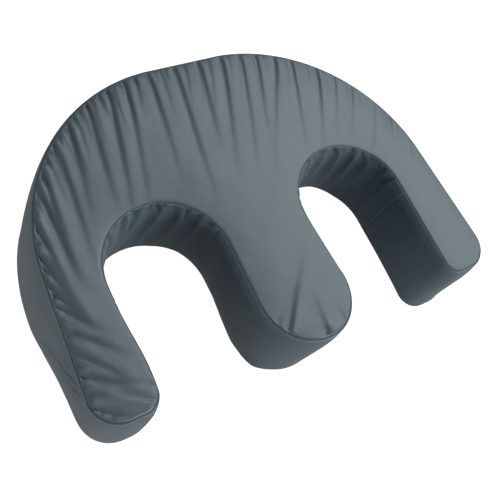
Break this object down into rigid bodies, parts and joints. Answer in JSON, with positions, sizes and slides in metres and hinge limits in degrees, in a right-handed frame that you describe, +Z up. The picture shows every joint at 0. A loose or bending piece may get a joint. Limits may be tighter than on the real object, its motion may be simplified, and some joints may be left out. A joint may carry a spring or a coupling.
{
  "type": "face cradle cushion",
  "caption": "Boxed foam face cradle cushion with two side legs, a round centre tongue and U-shaped notches between them, in a zipped wipe-clean cover.",
  "frame": {"origin": "centre of the cushion's footprint, on its underside", "axes": "+X across the two legs, +Y towards the closed back, +Z up; the legs and the tongue point along -Y"},
  "size_m": [0.4798, 0.336, 0.1],
  "materials": {
    "top_cloth": "satin coated fabric",
    "base_cloth": "satin coated fabric",
    "boxing_cloth": "satin coated fabric",
    "foam": "open-cell foam",
    "zip_tape": "woven tape",
    "zip_teeth": "moulded teeth",
    "zip_metal": "satin painted",
    "thread": "polyester thread"
  },
  "bodies": {
    "cushion": {"foam_core": "foam", "top_panel": "top_cloth", "bottom_panel": "base_cloth", "inner_boxing": "boxing_cloth", "outer_boxing_right": "boxing_cloth", "outer_boxing_left": "boxing_cloth", "zip_strip_upper": "boxing_cloth", "zip_strip_lower": "boxing_cloth", "zip_tape_upper": "zip_tape", "zip_tape_lower": "zip_tape", "zip_teeth_upper": "zip_teeth", "zip_teeth_lower": "zip_teeth", "zip_top_stops": "zip_metal", "zip_bottom_stop": "zip_metal", "top_seam_thread": "thread", "bottom_seam_thread": "thread", "boxing_join_threads": "thread", "zip_stitches_upper": "thread", "zip_stitches_lower": "thread"},
    "slider": {"zip_slider": "zip_metal"},
    "pull": {"zip_pull": "zip_metal"}
  },
  "joints": [
    {"name": "zip_travel", "type": "hinge", "parent": "cushion", "child": "slider", "pos_m": [0.036, -0.028, 0.05], "axis": [0, 0, 1], "range_deg": [0, 72]},
    {"name": "pull_swing", "type": "hinge", "parent": "slider", "child": "pull", "pos_m": [0.23075, 0.0134, 0.05], "axis": [0, 0, -1], "range_deg": [0, 170]}
  ]
}
